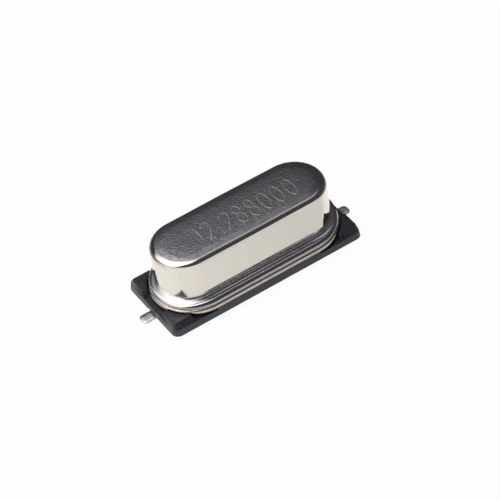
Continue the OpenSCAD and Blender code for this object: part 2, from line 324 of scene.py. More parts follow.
class Nodes:
    """Short calls for building a node tree.

    Args:
        tree: The tree to build in.
    """

    def __init__(self, tree: Tree) -> None:
        """Keeps the tree."""
        self.tree = tree

    def add(self, kind: str, **values: object) -> bpy.types.Node:
        """Adds a node and sets its properties.

        Args:
            kind: The node's type name without the ShaderNode prefix.
            values: Properties, by name.

        Returns:
            The node.
        """
        node = self.tree.nodes.new(kind if kind.startswith("NodeGroup") else "ShaderNode" + kind)
        for key, value in values.items():
            setattr(node, key, value)
        return node

    def put(self, socket: Socket, value: object) -> None:
        """Links a socket to another, or writes a constant into it.

        Args:
            socket: The input.
            value: A socket or a constant.
        """
        if isinstance(value, Socket):
            self.tree.links.new(value, socket)
        else:
            socket.default_value = value

    def math(self, operation: str, *values: object, clamp: bool = False) -> Socket:
        """Adds a Math node.

        Args:
            operation: The operation.
            values: Its inputs, sockets or numbers.
            clamp: Whether the result is held between 0 and 1.

        Returns:
            The result's socket.
        """
        node = self.add("Math", operation=operation, use_clamp=clamp)
        for socket, value in zip(node.inputs, values):
            self.put(socket, value)
        return node.outputs[0]

    def ramp(self, value: object, low: float, high: float, to: Pair = (0.0, 1.0)) -> Socket:
        """Maps a value smoothly from one range to another.

        Args:
            value: The input.
            low: Input that gives the first output.
            high: Input that gives the second output.
            to: The two outputs.

        Returns:
            The result's socket.
        """
        node = self.add("MapRange", interpolation_type="SMOOTHSTEP")
        for socket, given in zip(node.inputs, (value, low, high, *to)):
            self.put(socket, given)
        return node.outputs[0]

    def blend(self, share: object, first: object, second: object) -> Socket:
        """Mixes two colours.

        Args:
            share: Share of the second.
            first: The first colour.
            second: The second colour.

        Returns:
            The result's socket.
        """
        node = self.add("Mix", data_type="RGBA", blend_type="MIX", clamp_factor=True)
        self.put(node.inputs["Factor"], share)
        self.put(node.inputs[6], first)
        self.put(node.inputs[7], second)
        return node.outputs[2]

    def noise(self, vector: object, scale: object, detail: float = 2.0, rough: float = 0.5) -> Socket:
        """Adds a noise texture.

        Args:
            vector: Where it is read.
            scale: Its features for each unit of length.
            detail: Its number of finer layers.
            rough: How strong each finer layer is.

        Returns:
            The value's socket.
        """
        node = self.add("TexNoise")
        self.put(node.inputs["Vector"], vector)
        self.put(node.inputs["Scale"], scale)
        self.put(node.inputs["Detail"], detail)
        self.put(node.inputs["Roughness"], rough)
        return node.outputs[0]

    def stretch(self, vector: object, scale: Triple) -> Socket:
        """Scales a vector along each axis.

        Args:
            vector: The vector.
            scale: Scale along x, y and z.

        Returns:
            The result's socket.
        """
        node = self.add("VectorMath", operation="MULTIPLY")
        self.put(node.inputs[0], vector)
        self.put(node.inputs[1], scale)
        return node.outputs[0]

    def group(self, tree: Tree, **values: object) -> bpy.types.Node:
        """Places a shader group.

        Args:
            tree: The group's tree.
            values: Its inputs, with spaces in their names written as _.

        Returns:
            The group's node.
        """
        node = self.add("Group")
        node.node_tree = tree
        for key, value in values.items():
            self.put(node.inputs[key.replace("_", " ")], value)
        return node

    def emboss(self, shader: bpy.types.Node, height: Socket, depth: float) -> None:
        """Bumps a shader's surface.

        Args:
            shader: The shader.
            height: Height over the surface, from 0 to about 1.
            depth: How high 1 stands, in millimetres.
        """
        bump = self.add("Bump")
        self.put(bump.inputs["Strength"], 1.0)
        self.put(bump.inputs["Distance"], depth * MM)
        self.put(bump.inputs["Height"], height)
        self.put(shader.inputs["Normal"], bump.outputs["Normal"])

    def millimetres(self) -> Socket:
        """Gives the object's own coordinates in millimetres."""
        place = self.add("TexCoord").outputs["Object"]
        return self.stretch(place, (1 / MM, 1 / MM, 1 / MM))


def new_material(name: str) -> tuple[bpy.types.Material, Nodes, bpy.types.Node]:
    """Makes a material with its own shader.

    Args:
        name: Its name.

    Returns:
        The material, the calls that build in it, and its shader.
    """
    material = bpy.data.materials.new(name)
    material.use_nodes = True
    return material, Nodes(material.node_tree), material.node_tree.nodes["Principled BSDF"]


def new_group(
    name: str, inputs: dict[str, float | None], outputs: tuple[str, ...]
) -> tuple[Tree, dict[str, Socket], bpy.types.Node]:
    """Makes an empty shader group.

    Args:
        name: Its name.
        inputs: Names of its inputs with their defaults; None makes a vector.
        outputs: Names of its outputs, all plain values.

    Returns:
        The tree, its inputs' sockets by name, and its output node.
    """
    tree = bpy.data.node_groups.new(name, "ShaderNodeTree")
    for key, default in inputs.items():
        kind = "NodeSocketVector" if default is None else "NodeSocketFloat"
        socket = tree.interface.new_socket(key, in_out="INPUT", socket_type=kind)
        if default is not None:
            socket.default_value = default
    for key in outputs:
        tree.interface.new_socket(key, in_out="OUTPUT", socket_type="NodeSocketFloat")
    given = tree.nodes.new("NodeGroupInput")
    taken = tree.nodes.new("NodeGroupOutput")
    return tree, {s.name: s for s in given.outputs if s.name}, taken


class Effects:
    """The surface effects that several finishes share, each a shader group."""

    def __init__(self) -> None:
        """Builds every group once."""
        self.mottle = self._mottle()
        self.scratches = self._scratches()
        self.edge_wear = self._edge_wear()
        self.draw_rings = self._draw_rings()

    def _mottle(self) -> Tree:
        """Cloudy patches over a fine grain, as on rolled and plated sheet.

        Returns:
            The group's tree.
        """
        inputs = {"Place": None, "Patch Scale": 3.0, "Grain Scale": 20.0, "Grain Share": 0.5}
        tree, given, taken = new_group("mottle", inputs, ("Height", "Patches"))
        n = Nodes(tree)
        patches = n.noise(given["Place"], given["Patch Scale"], 3.0, 0.6)
        grain = n.noise(given["Place"], given["Grain Scale"], 2.0, 0.6)
        even = n.math("SUBTRACT", 1.0, given["Grain Share"])
        fine = n.math("MULTIPLY", grain, given["Grain Share"])
        height = n.math("ADD", fine, n.math("MULTIPLY", patches, even))
        n.put(taken.inputs["Height"], height)
        n.put(taken.inputs["Patches"], n.ramp(patches, 0.3, 0.7))
        return tree

    def _scratches(self) -> Tree:
        """Fine straight handling marks in several directions.

        Returns:
            The group's tree.
        """
        tree, given, taken = new_group("scratches", {"Place": None, "Scale": 1.0, "Density": 0.5}, ("Mask",))
        n = Nodes(tree)
        lines = None
        for turn, offset in ((0.35, 0.0), (-0.9, 3.7), (1.9, 8.1)):
            node = n.add("VectorRotate", rotation_type="Z_AXIS")
            n.put(node.inputs["Vector"], given["Place"])
            n.put(node.inputs["Angle"], turn)
            thin = n.stretch(node.outputs[0], (0.5, 22.0, 0.5))
            move = n.add("VectorMath", operation="ADD")
            n.put(move.inputs[0], thin)
            n.put(move.inputs[1], (offset, offset * 2, 0.0))
            streak = n.ramp(n.noise(move.outputs[0], given["Scale"], 1.0, 0.4), 0.70, 0.78)
            where = n.ramp(n.noise(move.outputs[0], n.math("MULTIPLY", given["Scale"], 0.2), 0.0), 0.5, 0.62)
            line = n.math("MULTIPLY", streak, where)
            lines = line if lines is None else n.math("MAXIMUM", lines, line)
        n.put(taken.inputs["Mask"], n.math("MULTIPLY", lines, given["Density"], clamp=True))
        return tree

    def _draw_rings(self) -> Tree:
        """Fine marks that run round a flange with straight sides and round ends.

        Returns:
            The group's tree.
        """
        inputs = {"Place": None, "Half Run": 3.2, "Scale": 10.0}
        tree, given, taken = new_group("draw_rings", inputs, ("Height",))
        n = Nodes(tree)
        parts = n.add("SeparateXYZ")
        n.put(parts.inputs[0], given["Place"])
        x, y, z = parts.outputs
        end = n.math("MAXIMUM", n.math("SUBTRACT", n.math("ABSOLUTE", x), given["Half Run"]), 0.0)
        away = n.math("SQRT", n.math("MULTIPLY_ADD", end, end, n.math("MULTIPLY", y, y)))
        spot = n.add("CombineXYZ")
        n.put(spot.inputs[0], n.math("SUBTRACT", z, away))
        n.put(spot.inputs[1], n.math("MULTIPLY", x, 0.12))
        n.put(spot.inputs[2], n.math("MULTIPLY", y, 0.12))
        n.put(taken.inputs["Height"], n.noise(spot.outputs[0], given["Scale"], 1.5, 0.5))
        return tree

    def _edge_wear(self) -> Tree:
        """Mask of convex edges, broken up by noise.

        Returns:
            The group's tree.
        """
        tree, given, taken = new_group("edge_wear", {"Place": None, "Width": 0.05, "Scale": 8.0}, ("Mask",))
        n = Nodes(tree)
        point = n.add("NewGeometry").outputs["Pointiness"]
        edge = n.ramp(point, 0.5, n.math("ADD", 0.5, given["Width"]))
        broken = n.ramp(n.noise(given["Place"], given["Scale"], 3.0, 0.6), 0.35, 0.65)
        n.put(taken.inputs["Mask"], n.math("MULTIPLY", edge, broken))
        return tree


class Sheen(Enum):
    """How the grain of a metal finish runs."""

    PLATED = "plated"
    DRAWN = "drawn"
    PRESSED = "pressed"


@dataclass(frozen=True)
class MetalFinish:
    """A bare metal surface.

    Args:
        name: The material's name.
        colour: Linear colour of its reflection.
        dark: Linear colour of its duller patches.
        roughness: Lowest and highest roughness.
        grain: Height of its grain in millimetres.
        patch_scale: Patches for each millimetre.
        grain_scale: Grains for each millimetre.
        scratch: Strength of its handling marks.
        sheen: How its grain runs.
    """

    name: str
    colour: Triple
    dark: Triple
    roughness: Pair
    grain: float
    patch_scale: float = 3.0
    grain_scale: float = 18.0
    scratch: float = 0.5
    sheen: Sheen = Sheen.PLATED

    def build(self, effects: Effects) -> bpy.types.Material:
        """Makes the material.

        Args:
            effects: The shared shader groups.

        Returns:
            The material.
        """
        material, n, shader = new_material(self.name)
        place = n.millimetres()
        if self.sheen is Sheen.DRAWN:
            place = n.stretch(place, (1.0, 1.0, 0.25))
        mottle = n.group(
            effects.mottle,
            Place=place,
            Patch_Scale=self.patch_scale,
            Grain_Scale=self.grain_scale,
            Grain_Share=0.55,
        )
        marks = n.group(effects.scratches, Place=n.millimetres(), Scale=1.1, Density=self.scratch)
        colour = n.blend(mottle.outputs["Patches"], (*self.dark, 1.0), (*self.colour, 1.0))
        n.put(shader.inputs["Base Color"], colour)
        n.put(shader.inputs["Metallic"], 1.0)
        rough = n.ramp(mottle.outputs["Patches"], 0.0, 1.0, (self.roughness[1], self.roughness[0]))
        rough = n.math("ADD", rough, n.math("MULTIPLY", marks.outputs["Mask"], 0.15))
        n.put(shader.inputs["Roughness"], rough)
        height = n.math("SUBTRACT", mottle.outputs["Height"], n.math("MULTIPLY", marks.outputs["Mask"], 0.6))
        if self.sheen is Sheen.PRESSED:
            ring = n.group(effects.draw_rings, Place=n.millimetres(), Half_Run=3.05, Scale=6.5)
            height = n.math("ADD", height, ring.outputs["Height"])
        n.emboss(shader, height, self.grain)
        return material


@dataclass(frozen=True)
class CanFinish:
    """Bright nickel on the drawn can, rougher at the flange, with painted light in its colours: painted shade
    on the flange's outer edge, a paler, cooler painted reflection on the flange's flat ring and the wall's
    foot, and a cooler painted tint over the top face's own patches.

    Args:
        name: The material's name.
        colour: Linear colour of the wall.
        foot_painted_reflection: Linear colour of the wall's foot and the flange's flat ring, paler and cooler
            than the wall: painted reflection.
        lip_painted_shade: Linear colour of the flange's outer edge, darker than the wall: painted shade.
        roof_patch_and_painted_tint: Linear colour of the top face's brighter patches; the patches are the
            sheet's own tone, their cooler tint and brightness against the wall are painted reflection.
        roof_dull_patch_and_painted_tint: Linear colour of the top face's duller patches, in the same painted
            reflection tint.
        wall: Lowest and highest roughness of the wall.
        foot: Roughness of the wall's foot.
        lip: Roughness of the flange's outer edge and flat ring.
        roof: Lowest and highest roughness of the top face.
        foot_zone: Heights in millimetres where the flange's painted colours and its roughness begin and are
            full.
        roof_zone: Heights in millimetres where the top face's colours, with their painted tint, and its
            roughness begin and are full.
        pit_zone: Heights in millimetres where the top face's pits begin and are full.
        shoulder_zone: Heights where the flange's edge gives way to its flat ring, and its painted shade to its
            painted reflection.
        worked_zone: Heights where the flange's sheen gives way to the wall's foot.
        ring_zone: Heights where the drawing marks begin.
        deep_zone: Heights below which the drawing marks are twice as deep.
        scratched: Linear colour of the handling marks on the top face.
        grain: Height of the wall's grain in millimetres.
        pitting: Height of the top face's pits in millimetres.
        rings: Height of the drawing marks at the wall's foot in millimetres.
    """

    name: str = "can_nickel"
    colour: Triple = (0.8, 0.755, 0.675)
    # Painted reflection: paler and cooler than the wall, to brighten the reflected lines on the flat ring and
    # the wall's foot.
    foot_painted_reflection: Triple = (0.84, 0.815, 0.82)
    # Painted shade: the flange's outer edge is darker than the wall's nickel.
    lip_painted_shade: Triple = (0.57, 0.54, 0.515)
    # Top face: its own random patches, in a cooler painted tint set apart from the wall's colour.
    roof_patch_and_painted_tint: Triple = (0.84, 0.825, 0.8)
    roof_dull_patch_and_painted_tint: Triple = (0.52, 0.51, 0.495)
    wall: Pair = (0.06, 0.14)
    foot: float = 0.2
    lip: float = 0.17
    roof: Pair = (0.1, 0.2)
    foot_zone: Pair = (1.82, 1.45)
    roof_zone: Pair = (3.82, 3.85)
    pit_zone: Pair = (3.846, 3.856)
    shoulder_zone: Pair = (1.29, 1.34)
    worked_zone: Pair = (1.39, 1.46)
    ring_zone: Pair = (1.366, 1.374)
    deep_zone: Pair = (1.46, 1.4)
    scratched: Triple = (0.8, 0.79, 0.76)
    grain: float = 0.002
    pitting: float = 0.012
    rings: float = 0.006

    def build(self, effects: Effects) -> bpy.types.Material:
        """Makes the material.

        Args:
            effects: The shared shader groups.

        Returns:
            The material.
        """
        material, n, shader = new_material(self.name)
        place = n.millimetres()
        parts = n.add("SeparateXYZ")
        n.put(parts.inputs[0], place)
        z = parts.outputs[2]
        foot = n.ramp(z, *self.foot_zone)
        roof = n.ramp(z, *self.roof_zone)
        flat = n.ramp(z, *self.pit_zone)
        upright = n.stretch(place, (1.0, 1.0, 0.3))
        drawn = n.group(effects.mottle, Place=upright, Patch_Scale=3.0, Grain_Scale=18.0, Grain_Share=0.55)
        pitted = n.group(effects.mottle, Place=place, Patch_Scale=2.8, Grain_Scale=7.5, Grain_Share=0.55)
        marks = n.group(effects.scratches, Place=place, Scale=1.1, Density=0.6)
        cloudy = n.ramp(pitted.outputs["Height"], 0.4, 0.6)
        # The top face's patches are the sheet's own tone; their cooler tint and brightness against the wall are
        # painted reflection.
        top = n.blend(cloudy, (*self.roof_dull_patch_and_painted_tint, 1.0), (*self.roof_patch_and_painted_tint, 1.0))
        top = n.blend(n.math("MULTIPLY", marks.outputs["Mask"], 0.5), top, (*self.scratched, 1.0))
        # Painted light on the flange: painted shade on its outer edge, painted reflection on its flat ring,
        # blended across the shoulder.
        shoulder = n.ramp(z, *self.shoulder_zone)
        edge = n.blend(shoulder, (*self.lip_painted_shade, 1.0), (*self.foot_painted_reflection, 1.0))
        duller = tuple(0.98 * c for c in self.colour)
        wall = n.blend(drawn.outputs["Patches"], (*duller, 1.0), (*self.colour, 1.0))
        # Below the wall, the flange's painted shade and painted reflection take over from the nickel's own
        # colour.
        body = n.blend(foot, wall, edge)
        n.put(shader.inputs["Base Color"], n.blend(roof, body, top))
        n.put(shader.inputs["Metallic"], 1.0)
        rough = n.ramp(drawn.outputs["Patches"], 0.0, 1.0, (self.wall[1], self.wall[0]))
        worked = n.ramp(z, *self.worked_zone, (self.lip, self.foot))
        rough = n.math("MULTIPLY_ADD", foot, n.math("SUBTRACT", worked, rough), rough)
        lid = n.ramp(cloudy, 0.0, 1.0, (self.roof[1], self.roof[0]))
        n.put(shader.inputs["Roughness"], n.math("MULTIPLY_ADD", roof, n.math("SUBTRACT", lid, rough), rough))
        coarse = n.math("MULTIPLY", pitted.outputs["Height"], flat)
        coarse = n.math("MULTIPLY", coarse, self.pitting / self.grain)
        ring = n.group(effects.draw_rings, Place=place, Half_Run=3.24, Scale=6.5).outputs["Height"]
        ring = n.math("MULTIPLY", n.math("MULTIPLY", ring, foot), n.ramp(z, *self.ring_zone))
        ring = n.math("MULTIPLY", ring, n.ramp(z, *self.deep_zone, (1.0, 2.0)))
        height = n.math("ADD", drawn.outputs["Height"], coarse)
        height = n.math("MULTIPLY_ADD", ring, self.rings / self.grain, height)
        height = n.math("SUBTRACT", height, n.math("MULTIPLY", marks.outputs["Mask"], 0.6))
        n.emboss(shader, height, self.grain)
        return material


@dataclass(frozen=True)
class PlasticFinish:
    """A moulded plastic surface.

    Args:
        name: The material's name.
        colour: Linear colour.
        pale: Linear colour of rubbed edges.
        roughness: Lowest and highest roughness.
        grain: Height of the mould's grain in millimetres.
        gloss: Strength of its reflection, 0.5 being plain plastic.
    """

    name: str
    colour: Triple
    pale: Triple
    roughness: Pair
    grain: float
    gloss: float = 0.5

    def build(self, effects: Effects) -> bpy.types.Material:
        """Makes the material.

        Args:
            effects: The shared shader groups.

        Returns:
            The material.
        """
        material, n, shader = new_material(self.name)
        place = n.millimetres()
        mottle = n.group(effects.mottle, Place=place, Patch_Scale=1.6, Grain_Scale=22.0, Grain_Share=0.7)
        wear = n.group(effects.edge_wear, Place=place, Width=0.08, Scale=9.0)
        worn = n.math("MULTIPLY", wear.outputs["Mask"], 0.5)
        n.put(shader.inputs["Base Color"], n.blend(worn, (*self.colour, 1.0), (*self.pale, 1.0)))
        rough = n.ramp(mottle.outputs["Patches"], 0.0, 1.0, self.roughness)
        n.put(shader.inputs["Roughness"], rough)
        n.put(shader.inputs["Specular IOR Level"], self.gloss)
        n.emboss(shader, mottle.outputs["Height"], self.grain)
        return material


@dataclass(frozen=True)
class GlassFinish:
    """A clear or tinted glassy surface.

    Args:
        name: The material's name.
        colour: Linear colour.
        roughness: Lowest and highest roughness.
        index: Refractive index.
    """

    name: str
    colour: Triple
    roughness: Pair
    index: float

    def build(self, effects: Effects) -> bpy.types.Material:
        """Makes the material.

        Args:
            effects: The shared shader groups.

        Returns:
            The material.
        """
        material, n, shader = new_material(self.name)
        place = n.millimetres()
        mottle = n.group(effects.mottle, Place=place, Patch_Scale=2.0, Grain_Scale=16.0, Grain_Share=0.5)
        tint = tuple(0.8 * c for c in self.colour)
        patches = mottle.outputs["Patches"]
        n.put(shader.inputs["Base Color"], n.blend(patches, (*tint, 1.0), (*self.colour, 1.0)))
        n.put(shader.inputs["Roughness"], n.ramp(patches, 0.0, 1.0, self.roughness))
        n.put(shader.inputs["Metallic"], 0.0)
        n.put(shader.inputs["Transmission Weight"], 1.0)
        n.put(shader.inputs["IOR"], self.index)
        return material


# --------------------------------------------------------------------------
# The can
# --------------------------------------------------------------------------


@dataclass
class DrawnCan:
    """The metal can: one drawn sheet that flares into a flange at its mouth.

    Args:
        finish: Its material.
        length: Length of the body at its foot.
        width: Width of the body at its foot.
        wall: Thickness of the sheet.
        top_radius: Outer radius round the top face.
        crown: Falls of the top face towards its edge, each a final slope in
            degrees and a radius, from the edge inward.
        sink: How far the top face lies under the digits' lips.
        draft: Lean of the wall.
        lip: Height of the flange over the mouth.
        lip_radii: Radii of the flange's outer edge: at its foot, up its flank
            and over its shoulder.
        lip_turns: Directions in degrees where each gives way to the next.
        ring: Width of the flange's flat ring.
        dip: Steepest slope of the flange inside its ring, in degrees.
        dip_radii: Radii of the bends into that slope and out of it.
        skirt: Slope of the flange beside the wall, in degrees.
        corner: Radius of the corner between flange and wall.
        inner_radii: Radii round the cavity's roof and round its mouth.
        full: Radius beyond which the sides swell.
        bow: Swelling of the long sides at their middle.
        bow_start: Height over the flange where the swelling begins.
        bow_rise: Height over which it grows to its whole.
        marks: Drawing marks round the wall's foot, each a depth, a pitch and
            a phase in radians.
        marked: Height of the zone that carries them.
        low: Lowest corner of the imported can's box.
        high: Highest corner of that box.
    """

    finish: bpy.types.Material
    length: float = 10.08
    width: float = 3.6
    wall: float = 0.22
    top_radius: float = 0.33
    crown: tuple[Pair, ...] = ((5.0, 4.0), (2.0, 25.0))
    sink: float = 0.004
    draft: float = 0.02
    lip: float = 0.305
    lip_radii: Triple = (0.1, 0.33, 0.17)
    lip_turns: Pair = (20.3, 55.0)
    ring: float = 0.005
    dip: float = 20.0
    dip_radii: Pair = (0.3, 0.25)
    skirt: float = 5.0
    corner: float = 0.02
    inner_radii: Pair = (0.12, 0.2)
    full: float = 1.5
    bow: float = 0.015
    bow_start: float = 0.05
    bow_rise: float = 1.6
    marks: tuple[Triple, ...] = ((0.0009, 0.19, 0.0), (0.0004, 0.12, 1.3))
    marked: float = 0.38
    low: Vector = field(default_factory=lambda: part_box("can_cover")[0] / MM)
    high: Vector = field(default_factory=lambda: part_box("can_cover")[1] / MM)

    def profile(self) -> list[Triple]:
        """Works out the sweep, from the cavity's roof round the lip to the top.

        Returns:
            Triples of radius, height and half run.
        """
        run = (self.length - self.width) / 2
        lip_run = self.high.x - self.high.y
        outer = self.width / 2
        inner = outer - self.wall
        lip_r = self.high.y
        base, top = self.low.z, self.high.z - self.sink
        roof = top - self.wall
        shut, mouth = self.inner_radii
        body = [(0.05, roof)]
        body += arc((inner - shut, roof - shut), shut, 90, 0, 6)
        body += arc((inner + mouth, base + mouth), mouth, 180, 270, 8)
        flange = self._flange_edge(lip_r, base)
        upper = self._foot(outer, flange[-1][0] - self.ring, flange[-1][1])
        shoulder = outer - self.draft
        foot_top = upper[-1][1]
        start = top - self._fall()
        height = start - foot_top
        fine, coarse = 44, 10
        rises = [self.marked * i / fine for i in range(1, fine + 1)]
        rises += [self.marked + (height - self.marked) * i / coarse for i in range(1, coarse)]
        for rise in rises:
            upper.append((outer - self.draft * rise / height - self._mark(rise), foot_top + rise))
        centre = (shoulder - self.top_radius, start)
        upper += arc(centre, self.top_radius, 0, 90 - self.crown[0][0], 18)
        ends = [step[0] for step in self.crown[1:]] + [0.0]
        for (slope, radius), end in zip(self.crown, ends):
            r, z = upper[-1]
            a = math.radians(slope)
            centre = (r - radius * math.sin(a), z - radius * math.cos(a))
            upper += arc(centre, radius, 90 - slope, 90 - end, 8)[1:]
        flat = upper[-1][0]
        for i in range(1, 13):
            upper.append((flat * (1 - i / 12.4), top))
        sweep = [(r, z, run) for r, z in body]
        sweep += [(r, z, lip_run) for r, z in flange]
        sweep += [(r, z, run) for r, z in upper]
        return sweep

    def _mark(self, rise: float) -> float:
        """Depth of the drawing marks.

        Args:
            rise: Height over the wall's foot.

        Returns:
            The depth, fading in from the corner and out upward.
        """
        if rise >= self.marked:
            return 0.0
        fade = min(1.0, rise / (2 * self.corner)) * (1 - (rise / self.marked) ** 2)
        waves = (depth * math.sin(math.tau * rise / pitch + phase) for depth, pitch, phase in self.marks)
        return fade * sum(waves)

    def _fall(self) -> float:
        """Works out how far the top of the wall lies under the top face.

        Returns:
            The distance.
        """
        drop = self.top_radius * math.cos(math.radians(self.crown[0][0]))
        ends = [step[0] for step in self.crown[1:]] + [0.0]
        for (slope, radius), end in zip(self.crown, ends):
            drop += radius * (math.cos(math.radians(end)) - math.cos(math.radians(slope)))
        return drop

    def _flange_edge(self, reach: float, base: float) -> list[Pair]:
        """The flange's outer edge, from its underside over to its flat ring.

        Args:
            reach: Radius of the flange.
            base: Height of its underside.

        Returns:
            Pairs of radius and height.
        """
        low, flank, high = self.lip_radii
        first, second = (math.radians(t) for t in self.lip_turns)
        foot = (reach - low, base + low)
        side = (foot[0] - (flank - low) * math.cos(first), foot[1] - (flank - low) * math.sin(first))
        over = (side[0] + (flank - high) * math.cos(second), base + self.lip - high)
        lift = over[1] - side[1] - (flank - high) * math.sin(second)
        found = arc(foot, low, -90, self.lip_turns[0], 9)
        found += [(r, z + lift) for r, z in arc(side, flank, *self.lip_turns, 12)]
        return found + arc(over, high, self.lip_turns[1], 90, 8)[1:]

    def _foot(self, outer: float, start: float, z: float) -> list[Pair]:
        """The flange's upper face, from its flat ring in to the wall.

        Args:
            outer: Radius of the wall.
            start: Radius where the flat ring ends.
            z: Height of the flat ring.

        Returns:
            Pairs of radius and height.
        """
        bends = ((0.0, self.dip, self.dip_radii[0]), (self.dip, self.skirt, self.dip_radii[1]))
        found = [(start, z)]
        r = start
        for first, last, radius in bends:
            for i in range(1, 6):
                a0 = math.radians(first + (last - first) * (i - 1) / 5)
                a1 = math.radians(first + (last - first) * i / 5)
                r -= radius * abs(math.sin(a1) - math.sin(a0))
                z += radius * abs(math.cos(a0) - math.cos(a1))
                found.append((r, z))
        tight = self.corner
        slope = math.radians(self.skirt)
        reach = outer + tight * (1 - math.sin(slope))
        for i in range(1, 4):
            found.append((r + (reach - r) * i / 4, z + (r - reach) * i / 4 * math.tan(slope)))
        z += (r - reach) * math.tan(slope)
        centre = (outer + tight, z + tight * math.cos(slope))
        return found + arc(centre, tight, 270 - self.skirt, 180, 8)

    def build(self) -> bpy.types.Object:
        """Makes the can.

        Returns:
            The piece.
        """
        rows = []
        for r, z, run in self.profile():
            over = (z - self.low.z - self.lip - self.bow_start) / self.bow_rise
            bow = self.bow * min(1.0, max(0.0, over)) if r > self.full else 0.0
            rows.append(Ring(run, r - bow, z, bow).points(FULL_ROUND, FULL_ROUND))
        piece = loft("can_shell", rows)
        dress(piece, self.finish)
        seat(piece, "can_nickel", "can_cover")
        return piece


# --------------------------------------------------------------------------
# The engraved digits
# --------------------------------------------------------------------------


@dataclass(frozen=True)
class Bend:
    """Part of an ellipse in a digit's box, which is 1 high.

    Args:
        x: Centre across.
        y: Centre up.
        rx: Half width.
        ry: Half height.
        start: First angle in degrees.
        stop: Last angle in degrees.
    """

    x: float
    y: float
    rx: float
    ry: float
    start: float
    stop: float

    def points(self) -> list[Pair]:
        """Gives the points along the bend.

        Returns:
            Pairs of places across and up.
        """
        steps = max(3, int(abs(self.stop - self.start) / 12))
        found = []
        for i in range(steps + 1):
            a = math.radians(self.start + (self.stop - self.start) * i / steps)
            found.append((self.x + self.rx * math.cos(a), self.y + self.ry * math.sin(a)))
        return found


@dataclass(frozen=True)
class Straight:
    """A straight stroke in a digit's box.

    Args:
        x0: Start across.
        y0: Start up.
        x1: End across.
        y1: End up.
    """

    x0: float
    y0: float
    x1: float
    y1: float

    def points(self) -> list[Pair]:
        """Gives both ends."""
        return [(self.x0, self.y0), (self.x1, self.y1)]


GLYPHS: dict[str, tuple[float, list[list[Bend | Straight]]]] = {
    "0": (0.36, [[Bend(0.18, 0.5, 0.18, 0.5, 90, 450)]]),
    "1": (0.12, [[Straight(0.0, 0.82, 0.1, 1.0), Straight(0.1, 1.0, 0.1, 0.0)]]),
    "2": (
        0.34,
        [[Bend(0.17, 0.76, 0.17, 0.24, 165, -40), Straight(0.3, 0.6, 0.0, 0.0), Straight(0.0, 0.0, 0.34, 0.0)]],
    ),
    "8": (0.34, [[Bend(0.17, 0.77, 0.15, 0.23, -90, 270), Bend(0.17, 0.27, 0.17, 0.27, 90, -270)]]),
    ".": (0.04, [[Straight(0.0, 0.0, 0.03, 0.05)]]),
}


@dataclass
class EngravedDigits:
    """Plain digits cut into the top face with a single fine stroke.

    Args:
        finish: Its material.
        text: The digits.
        height: Height of a digit.
        pitch: Gap between digits.
        line: Width of the stroke over both of its raised lips.
        start: Where the first digit begins along the part.
        base: Where the digits stand across the part.
        bury: How far the stroke is sunk into the top face.
    """

    finish: bpy.types.Material
    text: str = "12.288000"
    height: float = 1.3
    pitch: float = 0.3
    line: float = 0.06
    start: float = -2.55
    base: float = -0.87
    bury: float = 0.0003

    def build(self, can: DrawnCan) -> bpy.types.Object:
        """Makes the digits as one piece that lies on the can.

        Args:
            can: The can that carries them.

        Returns:
            The piece.
        """
        bm = bmesh.new()
        left = self.start
        for digit in self.text:
            width, strokes = GLYPHS[digit]
            for stroke in strokes:
                path: list[Pair] = []
                for part in stroke:
                    for x, y in part.points():
                        spot = (left + x * self.height, self.base + y * self.height)
                        if not path or math.dist(path[-1], spot) > 1e-4:
                            path.append(spot)
                self._cut(bm, path, can)
            left += width * self.height + self.pitch
        bmesh.ops.recalc_face_normals(bm, faces=bm.faces)
        for face in bm.faces:
            face.smooth = True
        piece = object_from(bm, "engraved_digits")
        dress(piece, self.finish)
        seat(piece, "can_nickel")
        return piece

    def _cut(self, bm: bmesh.types.BMesh, path: list[Pair], can: DrawnCan) -> None:
        """Adds one stroke: a groove between two fine raised lips.

        Args:
            bm: The mesh that it joins.
            path: Points along the stroke.
            can: The can that carries it.
        """
        half = self.line / 2
        top = can.high.z - can.sink - self.bury
        section = (
            (-half, -0.004),
            (-half * 0.55, 0.004),
            (0.0, 0.0005),
            (half * 0.55, 0.004),
            (half, -0.004),
            (0.0, -0.012),
        )
        closed = math.dist(path[0], path[-1]) < 1e-3
        points = [Vector(p) for p in (path[:-1] if closed else path)]
        count = len(points)
        rows = []
        for i, point in enumerate(points):
            before = points[i - 1] if closed or i else point
            after = points[(i + 1) % count] if closed or i < count - 1 else point
            along = (after - before).normalized()
            across = Vector((-along.y, along.x))
            rows.append([bm.verts.new(Vector((*(point + across * u), top + h)) * MM) for u, h in section])
        pairs = list(zip(rows, rows[1:]))
        if closed:
            pairs.append((rows[-1], rows[0]))
        size = len(section)
        for one, two in pairs:
            for i in range(size):
                j = (i + 1) % size
                bm.faces.new((one[i], one[j], two[j], two[i]))
        if not closed:
            bm.faces.new(rows[0])
            bm.faces.new(list(reversed(rows[-1])))


# --------------------------------------------------------------------------
# The header
# --------------------------------------------------------------------------


